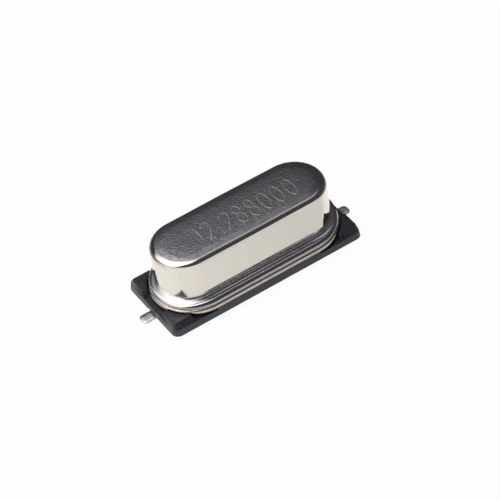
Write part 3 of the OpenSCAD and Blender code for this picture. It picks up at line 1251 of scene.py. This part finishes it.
@dataclass
class StampedHeader:
    """The header: a flange with rolled edges and a raised, hollow platform.

    Args:
        finish: Its material.
        flange: Thickness of its sheet.
        rim: Radius round the flange's upper edge.
        foot: Radius round the flange's lower edge.
        sheet_radii: Radii of the platform's bends, inside and outside the sheet.
        platform: Half width of the platform.
        run: Half length of the platform's straight sides.
        rise: Height of the platform over the flange.
        eyelet: Radius of the two holes that hold the glass.
        collar: Thickness of the collar round each hole.
        low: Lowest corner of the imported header's box.
        high: Highest corner of that box.
    """

    finish: bpy.types.Material
    flange: float = 0.27
    rim: float = 0.17
    foot: float = 0.06
    sheet_radii: Pair = (0.08, 0.12)
    platform: float = 1.42
    run: float = 3.19
    rise: float = 0.35
    eyelet: float = 0.65
    collar: float = 0.15
    low: Vector = field(default_factory=lambda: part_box("header_plate")[0] / MM)
    high: Vector = field(default_factory=lambda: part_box("header_plate")[1] / MM)

    def build(self) -> bpy.types.Object:
        """Makes the header.

        Returns:
            The piece.
        """
        base = self.low.z
        reach = self.high.y
        top = base + self.flange
        crest = top + self.rise
        run = self.high.x - reach
        hollow = self.platform - self.flange
        roof = crest - self.flange
        inside, outside = self.sheet_radii
        foot = self.foot
        under = [(0.05, roof), (hollow - inside, roof)]
        under += arc((hollow - inside, roof - inside), inside, 75, 0, 4)
        under += arc((hollow + outside, base + outside), outside, 180, 270, 6)
        edge = arc((reach - foot, base + foot), foot, -90, 0, 7)
        edge += arc((reach - self.rim, top - self.rim), self.rim, 0, 90, 16)
        over = arc((self.platform + inside, top + inside), inside, 270, 180, 5)
        over += arc((self.platform - outside, crest - outside), outside, 0, 90, 6)
        over.append((0.05, crest))
        rows = []
        for part, half_run in ((under, self.run), (edge, run), (over, self.run)):
            rows += [Ring(half_run, r, z).points(FULL_ROUND, CUT_RUN) for r, z in part]
        piece = loft("header_shell", rows)
        for side in (-1, 1):
            x = side * lead_axis()
            collar = [self._circle(x, self.eyelet + self.collar, z) for z in (base + 0.05, crest - 0.1)]
            combine(piece, loft("collar", collar), "UNION")
            bore = [self._circle(x, self.eyelet, z) for z in (base - 0.2, crest + 0.2)]
            combine(piece, loft("bore", bore), "DIFFERENCE")
        crisp_shade(piece, 30)
        dress(piece, self.finish)
        seat(piece, "header_metal", "header_plate")
        return piece

    @staticmethod
    def _circle(x: float, radius: float, z: float) -> list[Vector]:
        """Gives the points round a circle over or under one lead.

        Args:
            x: Place of its centre along the part.
            radius: Its radius.
            z: Its height.

        Returns:
            The points.
        """
        return [Vector((x + px, py, z)) for px, py in arc((0, 0), radius, 0, 355, 71)]


# --------------------------------------------------------------------------
# The base
# --------------------------------------------------------------------------


@dataclass
class MouldedBase:
    """The black base: plate, rails, seat, four corner blocks, holes, grooves.

    Args:
        finish: Its material.
        plate: Thickness of the plate.
        corner: Radius of the plate's corners.
        plate_lean: Lean of the plate's sides.
        seat_height: Height of the seat over the underside.
        rail: Half length of the rails along both long sides.
        block_length: Length of a block at its foot.
        ledge: Ledge outside the blocks' long sides.
        end_lean: Lean of a block's outer end.
        lean: Lean of a block's other sides.
        notch: Width between two blocks at one end.
        block_radii: Radius of a block's outer upright edge, below and above.
        gap: Gap between the blocks and the flange.
        groove: Depth of the grooves that clear the leads.
        groove_half: Half width of a groove.
        groove_start: Where a groove begins along the part.
        groove_end: Where its cutter ends, past the base.
        hole: Radius of the hole that a lead comes down through.
        edge: Width asked for the rounding on every edge. The cuts leave one very
            short edge, so the overlap limit shrinks it to almost nothing.
        low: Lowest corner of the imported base's box.
        high: Highest corner of that box.
    """

    finish: bpy.types.Material
    plate: float = 0.35
    corner: float = 0.4
    plate_lean: float = 0.05
    seat_height: float = 0.52
    rail: float = 3.1
    block_length: float = 1.32
    ledge: float = 0.13
    end_lean: float = 0.1
    lean: float = 0.19
    notch: float = 1.5
    block_radii: Pair = (0.25, 0.12)
    gap: float = 0.08
    groove: float = 0.06
    groove_half: float = 0.38
    groove_start: float = 2.44
    groove_end: float = 7.0
    hole: float = 0.4
    edge: float = 0.03
    low: Vector = field(default_factory=lambda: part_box("plastic_base")[0] / MM)
    high: Vector = field(default_factory=lambda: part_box("plastic_base")[1] / MM)

    def build(self) -> bpy.types.Object:
        """Makes the base.

        Returns:
            The piece.
        """
        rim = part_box("header_plate")[1] / MM
        run = rim.x - rim.y
        base = self.low.z
        top = base + self.plate
        plate = [self._plate_row(base, 0.0), self._plate_row(top, self.plate_lean)]
        piece = loft("base_moulding", plate)
        seat_zs = (top - 0.1, base + self.seat_height)
        seat_ring = [Ring(run, rim.y - 0.15, z).points(32, CUT_RUN) for z in seat_zs]
        combine(piece, loft("seat", seat_ring), "UNION")
        combine(piece, self._rails(), "UNION")
        for sx in (-1, 1):
            for sy in (-1, 1):
                block = self._block(sx, sy)
                relief_zs = (top, self.high.z + 0.2)
                relief = [Ring(run, rim.y + self.gap, z).points(48, CUT_RUN) for z in relief_zs]
                combine(block, loft("relief", relief), "DIFFERENCE")
                combine(piece, block, "UNION")
        for sx in (-1, 1):
            combine(piece, self._hole(sx), "DIFFERENCE")
            combine(piece, self._groove(sx), "DIFFERENCE")
        soften(piece, self.edge, 3, 32)
        dress(piece, self.finish)
        seat(piece, "base_plastic", "plastic_base")
        return piece

    def _rails(self) -> bpy.types.Object:
        """Makes the raised middle that carries the flange's long sides.

        Returns:
            The rails, joined under the seat.
        """
        rows = []
        for rise in (0.1, self.seat_height):
            y = self.high.y - self.plate_lean * rise / self.plate - 0.0005
            z = self.low.z + rise
            corners = ((-self.rail, -y), (self.rail, -y), (self.rail, y), (-self.rail, y))
            rows.append([Vector((*spot, z)) for spot in corners])
        return loft("rails", rows)

    def _plate_row(self, z: float, inset: float) -> list[Vector]:
        """Outline of the plate at one height.

        Args:
            z: The height.
            inset: How far it stands in from the outline at the underside.

        Returns:
            The points.
        """
        row = []
        for turn, (sx, sy) in enumerate(((1, 1), (-1, 1), (-1, -1), (1, -1))):
            centre = (sx * (self.high.x - self.corner), sy * (self.high.y - self.corner))
            for x, y in arc(centre, self.corner - inset, 90 * turn, 90 * turn + 90, 12):
                row.append(Vector((x, y, z)))
        return row

    def _block(self, sx: int, sy: int) -> bpy.types.Object:
        """One corner block with leaning sides, before its relief is cut.

        Args:
            sx: Which end, -1 or 1.
            sy: Which side, -1 or 1.

        Returns:
            The block.
        """
        rows = []
        foot = self.low.z + self.plate
        drop = 0.05
        rise = self.high.z - foot
        end = self.high.x - self.plate_lean - 0.001
        below, above = self.block_radii
        for z, r in ((foot - drop, below), (foot, below), (self.high.z, above)):
            share = max(0.0, (z - foot) / rise)
            x1 = end - self.end_lean * share
            x0 = end - self.block_length + self.lean * share
            y1 = self.high.y - self.ledge - self.lean * share
            y0 = self.notch / 2 + self.lean * share
            row = [(x0, y0), (x1, y0)]
            row += arc((x1 - r, y1 - r), r, 0, 90, 10)
            row += [(x0, y1)]
            points = [Vector((sx * x, sy * y, z)) for x, y in row]
            rows.append(points if sx * sy > 0 else list(reversed(points)))
        return loft("block", rows)

    def _hole(self, sx: int) -> bpy.types.Object:
        """Makes the cutter for the hole that a lead comes down through.

        Args:
            sx: Which end, -1 or 1.

        Returns:
            The cutter.
        """
        x = sx * lead_axis()
        rows = []
        for z in (self.low.z - 0.1, self.high.z):
            rows.append([Vector((x + px, py, z)) for px, py in arc((0, 0), self.hole, 0, 350, 35)])
        return loft("hole", rows)

    def _groove(self, sx: int) -> bpy.types.Object:
        """Makes the cutter for the groove that clears a lead.

        Args:
            sx: Which end, -1 or 1.

        Returns:
            The cutter.
        """
        x0, x1, half = self.groove_start, self.groove_end, self.groove_half
        rows = []
        for z in (self.low.z - 0.1, self.low.z + self.groove):
            row = [(x0, -half), (x1, -half), (x1, half), (x0, half)]
            points = [Vector((sx * x, y, z)) for x, y in row]
            rows.append(points if sx > 0 else list(reversed(points)))
        return loft("groove", rows)


# --------------------------------------------------------------------------
# The leads
# --------------------------------------------------------------------------


@dataclass(frozen=True)
class Station:
    """One cross-section of a lead.

    Args:
        x: Place along the part.
        z: Height.
        tilt: Direction of the wire in degrees, -90 down and 0 outward.
        wide: Half width across the part.
        thick: Half thickness.
        square: How boxy the section is; 2 is an ellipse.
    """

    x: float
    z: float
    tilt: float
    wide: float
    thick: float
    square: float = 2.0

    def points(self, side: int, count: int = 36) -> list[Vector]:
        """Gives the section's outline.

        Args:
            side: Which lead, -1 or 1.
            count: Number of points.

        Returns:
            The points, in millimetres.
        """
        a = math.radians(self.tilt)
        normal = Vector((-math.sin(a), 0, math.cos(a)))
        row = []
        for i in range(count):
            t = 2 * math.pi * i / count
            c, s = math.cos(t), math.sin(t)
            u = math.copysign(abs(c) ** (2 / self.square), c) * self.wide
            v = math.copysign(abs(s) ** (2 / self.square), s) * self.thick
            p = Vector((self.x, u, self.z)) + normal * v
            row.append(Vector((side * p.x, p.y, p.z)))
        return row if side < 0 else list(reversed(row))


@dataclass
class TinnedLead:
    """One lead: nail head, round shank, coined neck, bend and flat foot.

    Args:
        finish: Its material.
        side: Which lead, -1 or 1.
        wire: Radius of the round wire.
        wide: Half width of the flat foot.
        thick: Half thickness of the flat foot.
        bend: Inner radius of the bend.
        tip: Radius of the corners at the tip.
        taper: Share of its thickness that the foot loses towards the tip.
        head: The nail head, each a depth under its top and a radius.
        boxy: How boxy the coined wire is, in the bend and at the tip.
    """

    finish: bpy.types.Material
    side: int
    wire: float = 0.215
    wide: float = 0.33
    thick: float = 0.11
    bend: float = 0.15
    tip: float = 0.22
    taper: float = 0.22
    head: tuple[Pair, ...] = (
        (0.0, 0.33),
        (0.012, 0.36),
        (0.03, 0.369),
        (0.09, 0.369),
        (0.108, 0.36),
        (0.12, 0.33),
        (0.125, 0.225),
        (0.15, 0.215),
    )
    boxy: Pair = (3.4, 2.8)

    def stations(self) -> list[Station]:
        """Works out the sections from the nail head to the tip.

        Returns:
            The sections in order.
        """
        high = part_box("lead_right")[1] / MM
        seat_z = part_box("header_plate")[0].z / MM
        axis = lead_axis()
        bent, tipped = self.boxy
        rows = [Station(axis, high.z - depth, -90, radius, radius) for depth, radius in self.head]
        rows += [Station(axis, seat_z, -90, self.wire, self.wire)]
        turn_z = 2 * self.thick + self.bend
        for i in range(1, 7):
            share = i / 6
            ease = share * share * (3 - 2 * share)
            wide = self.wire + (self.wide - self.wire) * ease
            thick = self.wire + (self.thick - self.wire) * ease
            z = seat_z - (seat_z - turn_z) * share
            rows.append(Station(axis, z, -90, wide, thick, 2 + (bent - 2) * ease))
        reach = self.bend + self.thick
        for i in range(1, 9):
            a = 90 * i / 8
            x = axis + reach * (1 - math.cos(math.radians(a)))
            z = turn_z - reach * math.sin(math.radians(a))
            rows.append(Station(x, z, a - 90, self.wide, self.thick, bent))
        flat_end = high.x - 0.003 - self.tip
        start = axis + reach
        for i in range(1, 13):
            x = start + (flat_end - start) * i / 12
            thick = self.thick * (1 - self.taper * (i / 12) ** 2)
            rows.append(Station(x, thick, 0, self.wide, thick, bent + (tipped - bent) * i / 12))
        thin = self.thick * (1 - self.taper)
        for i in range(1, 13):
            a = math.radians(90 * i / 12.5)
            wide = self.wide - self.tip * (1 - math.cos(a))
            thick = thin * max(0.25, math.cos(a)) ** 0.5
            rows.append(Station(flat_end + self.tip * math.sin(a), thin, 0, wide, thick, tipped))
        return rows

    def build(self) -> bpy.types.Object:
        """Makes the lead.

        Returns:
            The piece.
        """
        name = "lead_left" if self.side < 0 else "lead_right"
        piece = loft(name + "_wire", [s.points(self.side) for s in self.stations()])
        dress(piece, self.finish)
        seat(piece, "lead_metal", name)
        return piece


# --------------------------------------------------------------------------
# What stays as packed
# --------------------------------------------------------------------------


@dataclass
class PackedPieces:
    """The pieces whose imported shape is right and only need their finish.

    Args:
        finishes: Material for each node.
    """

    finishes: dict[str, bpy.types.Material]

    def build(self) -> list[bpy.types.Object]:
        """Dresses every node.

        Returns:
            The nodes' objects.
        """
        made = []
        for name, material in self.finishes.items():
            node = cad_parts[name]
            smooth_cad(node, 30)
            dress(node, material)
            made.append(node)
        return made


# --------------------------------------------------------------------------
# Studio
# --------------------------------------------------------------------------


@dataclass(frozen=True)
class Softbox:
    """One rectangular lamp that faces the part.

    Args:
        name: Its name.
        azimuth: Direction in degrees, 0 in front and 90 to the right.
        elevation: Height in degrees.
        distance: Distance in metres.
        size: Width and height in metres.
        glow: Brightness of its face, 1 being white.
    """

    name: str
    azimuth: float
    elevation: float
    distance: float
    size: Pair
    glow: float

    def build(self) -> bpy.types.Object:
        """Makes the lamp.

        Returns:
            The lamp.
        """
        a, e = math.radians(self.azimuth), math.radians(self.elevation)
        back = Vector((math.sin(a) * math.cos(e), -math.cos(a) * math.cos(e), math.sin(e)))
        lamp = bpy.data.lights.new(self.name, "AREA")
        lamp.shape = "RECTANGLE"
        lamp.size, lamp.size_y = self.size
        lamp.energy = self.glow * math.pi * self.size[0] * self.size[1]
        made = bpy.data.objects.new(self.name, lamp)
        made.location = back * self.distance
        made.rotation_mode = "QUATERNION"
        made.rotation_quaternion = (-back).to_track_quat("-Z", "Y")
        made.visible_camera = False
        made.visible_glossy = False
        bpy.context.scene.collection.objects.link(made)
        return made


@dataclass(frozen=True)
class FloorShade:
    """How bright the floor lies: white round the part, darker further off.

    Each pair gives the places in millimetres where a shade begins and is full.

    Args:
        behind: Shade behind the part, by place across it.
        right: The two steps of the shade at the right, by place along the part.
        slant: How much earlier that shade begins further forward.
        left: Shade at the left, by place along the part.
        left_end: Where the left shade ends again.
        left_depth: Where the left shade begins and is full, across the part.
        front: Shade in front of the part, by place across it.
        front_run: Places along the part between which the front shade deepens.
        front_share: The front shade's strength at those places.
        dimmest: Brightness where a shade is full.
    """

    behind: Pair = (4.3, 8.5)
    right: tuple[Pair, Pair] = ((7.8, 9.5), (11.5, 14.0))
    slant: float = 0.8
    left: Pair = (-8.3, -9.3)
    left_end: Pair = (-11.5, -10.3)
    left_depth: Pair = (-1.0, 1.0)
    front: Pair = (-1.0, -3.5)
    front_run: Pair = (-8.0, 6.0)
    front_share: Pair = (0.06, 0.26)
    dimmest: float = 0.2

    def build(self, n: Nodes) -> Socket:
        """Adds the shade's nodes.

        Args:
            n: The calls that build in the floor's material.

        Returns:
            The brightness, 1 being white.
        """
        parts = n.add("SeparateXYZ")
        n.put(parts.inputs[0], n.millimetres())
        x, y, _ = parts.outputs
        behind = n.ramp(y, *self.behind)
        across = n.math("MULTIPLY_ADD", n.math("MINIMUM", y, 0.0), self.slant, x)
        steps = [n.ramp(across, *step, (0.0, 0.5)) for step in self.right]
        right = n.math("ADD", *steps)
        left = n.math("MULTIPLY", n.ramp(x, *self.left), n.ramp(y, *self.left_depth))
        left = n.math("MULTIPLY", left, n.ramp(x, *self.left_end))
        shade = n.math("MAXIMUM", behind, n.math("MAXIMUM", right, left))
        front = n.math("MULTIPLY", n.ramp(y, *self.front), n.ramp(x, *self.front_run, self.front_share))
        even = n.math("SUBTRACT", 1.0, front)
        return n.math("MULTIPLY", even, n.ramp(shade, 0.0, 1.0, (1.0, self.dimmest)))


@dataclass(frozen=True)
class Room:
    """The surroundings: one large soft window high on the left, grey elsewhere.

    A direction has x to the right, y to the back and z up. Each pair gives
    the limits between which a light fades in.

    Args:
        edge: The window's right-hand edge.
        edge_slant: How the edge leans toward the back.
        edge_offset: Where the edge lies.
        window: Brightness of the window.
        near: Limits of the window's nearer part, toward the front.
        near_lift: What the nearer part adds at the left and takes at the right.
        strip: A dim strip beside the window, toward the right.
        strip_near: Its limits toward the front.
        strip_glow: Its brightness.
        cut: Plane that cuts the window off below.
        cut_edge: Limits of the window over that plane.
        cut_dip: How far the plane drops from left to right.
        sill: Lowest directions of the window.
        back: Directions where the window ends at the back.
        walls: Brightness of the room in front and behind.
        horizon: Height of the pale band low down all round.
        horizon_front: How much higher that band reaches in front.
        horizon_side: Its strength at the right and elsewhere.
        horizon_back: Its strength behind and in front.
        cool: Colour of the dark room.
        plain: Colour of the lights.
    """

    edge: Pair = (0.42, -0.05)
    edge_slant: float = 0.2
    edge_offset: float = -0.129
    window: float = 1.2
    near: Pair = (0.6, 0.1)
    near_lift: Pair = (0.4, -0.2)
    strip: Pair = (0.6, 0.5)
    strip_near: Pair = (0.45, 0.2)
    strip_glow: float = 0.42
    cut: Triple = (-0.3455, 0.791, 0.4405)
    cut_edge: Pair = (0.02, 0.2)
    cut_dip: float = 0.13
    sill: Pair = (0.2, 0.28)
    back: Pair = (0.78, 0.56)
    walls: Pair = (0.06, 0.045)
    horizon: Pair = (0.16, 0.05)
    horizon_front: float = 0.09
    horizon_side: Pair = (0.1, 1.0)
    horizon_back: Pair = (0.2, 0.85)
    cool: Triple = (0.94, 0.93, 1.08)
    plain: Triple = (0.99, 1.0, 1.01)

    def build(self) -> None:
        """Makes the world and its nodes."""
        world = bpy.data.worlds.new("room")
        bpy.context.scene.world = world
        world.use_nodes = True
        n = Nodes(world.node_tree)
        back = world.node_tree.nodes["Background"]
        parts = n.add("SeparateXYZ")
        n.put(parts.inputs[0], n.add("TexCoord").outputs["Generated"])
        x, y, z = parts.outputs
        glow = self._window(n, x, y, z)
        low = self._horizon(n, x, y, z)
        room = n.ramp(y, -0.3, 0.5, self.walls)
        warmth = n.math("MAXIMUM", low, n.ramp(glow, 0.1, 0.8))
        tint = n.blend(warmth, (*self.cool, 1.0), (*self.plain, 1.0))
        shade = n.math("MAXIMUM", n.math("ADD", glow, room), low)
        seen = n.add("LightPath").outputs["Is Camera Ray"]
        n.put(back.inputs["Strength"], n.math("MAXIMUM", shade, seen))
        n.put(back.inputs["Color"], n.blend(seen, tint, (1.0, 1.0, 1.0, 1.0)))

    def _window(self, n: Nodes, x: Socket, y: Socket, z: Socket) -> Socket:
        """Adds the window's nodes.

        Args:
            n: The calls that build in the world.
            x: Direction to the right.
            y: Direction to the back.
            z: Direction up.

        Returns:
            The window's brightness.
        """
        across = n.math("ADD", x, n.math("MULTIPLY_ADD", y, self.edge_slant, self.edge_offset))
        glow = n.ramp(across, *self.edge, (0.0, self.window))
        lift = n.math("MULTIPLY", n.ramp(x, 0.0, 0.25, self.near_lift), n.ramp(y, *self.near))
        glow = n.math("MULTIPLY", glow, n.math("ADD", lift, 1.0))
        strip = n.math("MULTIPLY", n.ramp(x, *self.strip, (0.0, self.strip_glow)), n.ramp(y, *self.strip_near))
        glow = n.math("MAXIMUM", glow, strip)
        over = n.math("MULTIPLY_ADD", y, self.cut[1], n.math("MULTIPLY", z, self.cut[2]))
        over = n.math("MULTIPLY_ADD", x, self.cut[0], over)
        over = n.math("SUBTRACT", over, n.ramp(x, -0.2, 0.25, (0.0, self.cut_dip)))
        for limit in (n.ramp(over, *self.cut_edge), n.ramp(z, *self.sill), n.ramp(y, *self.back)):
            glow = n.math("MULTIPLY", glow, limit)
        return glow

    def _horizon(self, n: Nodes, x: Socket, y: Socket, z: Socket) -> Socket:
        """Adds the nodes of the pale band low down all round.

        Args:
            n: The calls that build in the world.
            x: Direction to the right.
            y: Direction to the back.
            z: Direction up.

        Returns:
            The band's brightness.
        """
        height = n.math("SUBTRACT", z, n.ramp(y, -0.3, -0.6, (0.0, self.horizon_front)))
        low = n.math("MULTIPLY", n.ramp(height, *self.horizon), n.ramp(x, 0.8, 0.4, self.horizon_side))
        reach = n.ramp(x, 0.0, -0.5, (0.4, 0.65))
        turned = n.math("SUBTRACT", y, reach)
        return n.math("MULTIPLY", low, n.ramp(turned, 0.05, -0.45, self.horizon_back))


@dataclass
class Studio:
    """Floor, lamps, surroundings and camera.

    Args:
        azimuth: The camera's direction in degrees.
        elevation: Its height in degrees.
        roll: Its roll in degrees.
        distance: Its distance from the part's middle in millimetres.
        lens: Focal length in millimetres on a 36 mm sensor.
        shift: Sideways and upward shift of the frame.
        aim: Height that it looks at, in millimetres.
        evenness: Share of the floor's look that takes no shadow.
    """

    azimuth: float = -26.5
    elevation: float = 44.03
    roll: float = -9.26
    distance: float = 122.04
    lens: float = 173.87
    shift: Pair = (0.0172, -0.033)
    aim: float = 2.28
    evenness: float = 0.95

    def build(self) -> None:
        """Makes everything round the part."""
        self._camera()
        self._floor()
        Room().build()
        Softbox("overhead", azimuth=-30, elevation=80, distance=1.0, size=(0.9, 0.9), glow=0.9).build()
        bpy.context.scene.view_settings.view_transform = "Standard"

    def _camera(self) -> None:
        """Makes the camera."""
        a, e, r = (math.radians(v) for v in (self.azimuth, self.elevation, self.roll))
        back = Vector((math.sin(a) * math.cos(e), -math.cos(a) * math.cos(e), math.sin(e)))
        right = Vector((math.cos(a), math.sin(a), 0.0))
        up = back.cross(right)
        side = right * math.cos(r) + up * math.sin(r)
        rise = up * math.cos(r) - right * math.sin(r)
        data = bpy.data.cameras.new("camera")
        data.sensor_width = 36.0
        data.lens = self.lens
        data.shift_x, data.shift_y = self.shift
        data.clip_start, data.clip_end = 0.005, 20.0
        made = bpy.data.objects.new("camera", data)
        turn = Matrix((side, rise, back)).transposed().to_4x4()
        place = back * self.distance * MM + Vector((0, 0, self.aim * MM))
        made.matrix_world = Matrix.Translation(place) @ turn
        bpy.context.scene.collection.objects.link(made)
        bpy.context.scene.camera = made

    def _floor(self) -> None:
        """Makes the pale floor."""
        bm = bmesh.new()
        bmesh.ops.create_circle(bm, cap_ends=True, segments=96, radius=4.0)
        floor = object_from(bm, "floor")
        material = bpy.data.materials.new("pale_floor")
        material.use_nodes = True
        tree = material.node_tree
        n = Nodes(tree)
        tree.nodes.remove(tree.nodes["Principled BSDF"])
        out = tree.nodes["Material Output"]
        cloth = n.add("BsdfDiffuse")
        cloth.inputs["Color"].default_value = (0.94, 0.94, 0.94, 1.0)
        glow = n.add("Emission")
        glow.inputs["Color"].default_value = (1.0, 1.0, 1.0, 1.0)
        path = n.add("LightPath")
        n.put(glow.inputs["Strength"], n.math("MAXIMUM", path.outputs["Is Camera Ray"], FloorShade().build(n)))
        seen = n.math("MAXIMUM", path.outputs["Is Camera Ray"], path.outputs["Is Glossy Ray"])
        seen = n.math("MAXIMUM", seen, path.outputs["Is Transmission Ray"])
        mix = n.add("MixShader")
        n.put(mix.inputs[0], n.math("MULTIPLY", seen, self.evenness))
        n.put(mix.inputs[1], cloth.outputs[0])
        n.put(mix.inputs[2], glow.outputs[0])
        n.put(out.inputs["Surface"], mix.outputs[0])
        dress(floor, material)


# --------------------------------------------------------------------------
# Building it all
# --------------------------------------------------------------------------


def main() -> None:
    """Builds every piece in order and reports it."""
    logging.basicConfig(level=logging.INFO, format="%(name)s: %(message)s")
    effects = Effects()
    can_metal = CanFinish().build(effects)
    header_metal = MetalFinish(
        "header_nickel",
        colour=(0.62, 0.57, 0.52),
        dark=(0.5, 0.45, 0.4),
        roughness=(0.2, 0.32),
        grain=0.003,
        sheen=Sheen.PRESSED,
    ).build(effects)
    digit_metal = MetalFinish(
        "engraved_edge",
        colour=(0.75, 0.72, 0.6),
        dark=(0.6, 0.57, 0.45),
        roughness=(0.3, 0.4),
        grain=0.002,
    ).build(effects)
    tin = MetalFinish(
        "tinned_wire",
        colour=(0.9, 0.89, 0.87),
        dark=(0.78, 0.77, 0.75),
        roughness=(0.22, 0.36),
        grain=0.006,
        patch_scale=2.5,
        grain_scale=9.0,
    ).build(effects)
    spring = MetalFinish(
        "spring_strip",
        colour=(0.55, 0.56, 0.57),
        dark=(0.45, 0.46, 0.47),
        roughness=(0.2, 0.3),
        grain=0.002,
        sheen=Sheen.DRAWN,
    ).build(effects)
    silver = MetalFinish(
        "silver_film",
        colour=(0.9, 0.89, 0.86),
        dark=(0.8, 0.79, 0.76),
        roughness=(0.15, 0.25),
        grain=0.001,
    ).build(effects)
    plastic = PlasticFinish(
        "black_moulding",
        colour=(0.013, 0.013, 0.018),
        pale=(0.036, 0.036, 0.045),
        roughness=(0.32, 0.45),
        grain=0.004,
        gloss=0.65,
    ).build(effects)
    cement = PlasticFinish(
        "silver_cement",
        colour=(0.35, 0.35, 0.36),
        pale=(0.5, 0.5, 0.5),
        roughness=(0.5, 0.65),
        grain=0.012,
    ).build(effects)
    seal = GlassFinish(
        "sealing_glass",
        colour=(0.1, 0.25, 0.2),
        roughness=(0.02, 0.08),
        index=1.52,
    ).build(effects)
    quartz = GlassFinish(
        "lapped_quartz",
        colour=(0.9, 0.94, 0.97),
        roughness=(0.2, 0.35),
        index=1.54,
    ).build(effects)
    LOG.info("finishes built")

    can = DrawnCan(can_metal)
    LOG.info("can: %d faces", len(can.build().data.polygons))
    digits = EngravedDigits(digit_metal)
    LOG.info("digits: %d faces", len(digits.build(can).data.polygons))
    LOG.info("header: %d faces", len(StampedHeader(header_metal).build().data.polygons))
    LOG.info("base: %d faces", len(MouldedBase(plastic).build().data.polygons))
    for side in (-1, 1):
        LOG.info("lead %+d: %d faces", side, len(TinnedLead(tin, side).build().data.polygons))
    packed = PackedPieces(
        {
            "glass_seal_left": seal,
            "glass_seal_right": seal,
            "spring_clip_left": spring,
            "spring_clip_right": spring,
            "quartz_blank": quartz,
            "electrode_upper": silver,
            "electrode_lower": silver,
            "adhesive_dot_left": cement,
            "adhesive_dot_right": cement,
        }
    )
    LOG.info("packed pieces dressed: %d", len(packed.build()))
    Studio().build()
    LOG.info("studio built")


if __name__ == "__main__":
    main()
